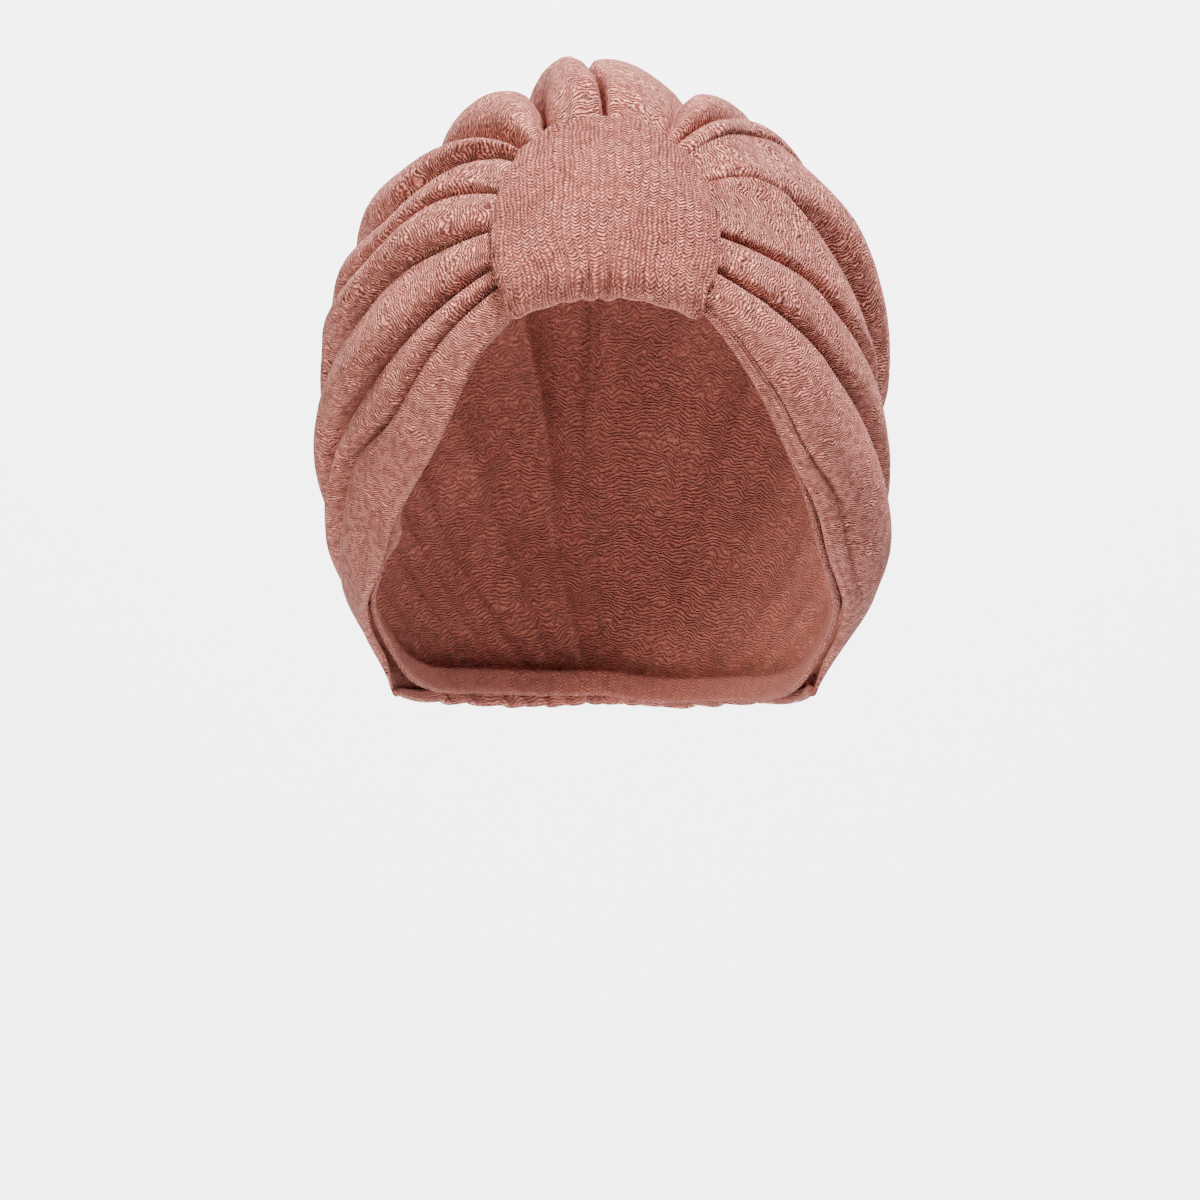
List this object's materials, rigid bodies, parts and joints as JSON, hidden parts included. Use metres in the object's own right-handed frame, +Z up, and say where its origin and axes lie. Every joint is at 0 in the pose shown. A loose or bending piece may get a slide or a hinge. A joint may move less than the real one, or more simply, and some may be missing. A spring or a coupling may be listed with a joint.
{
  "type": "turban headwrap",
  "caption": "Pre-tied jersey turban: a gathered cap of soft folds fanning back from a smooth front band, open at the face and nape.",
  "frame": {"origin": "the middle of the crown's inner face, where the wrap rests on the top of a head", "axes": "+Z up along the wearer's head, +Y towards the back of the head, so the face opening and the band look along -Y; +X to the viewer's right"},
  "size_m": [0.1863, 0.2126, 0.2094],
  "materials": {
    "jersey": "soft knitted jersey, matt",
    "band_jersey": "ribbed knitted jersey, matt",
    "hem_jersey": "turned knitted hem, matt"
  },
  "bodies": {
    "root": {"left_folds": "jersey", "right_folds": "jersey", "front_band": "band_jersey", "rim_hem": "hem_jersey"}
  },
  "joints": []
}
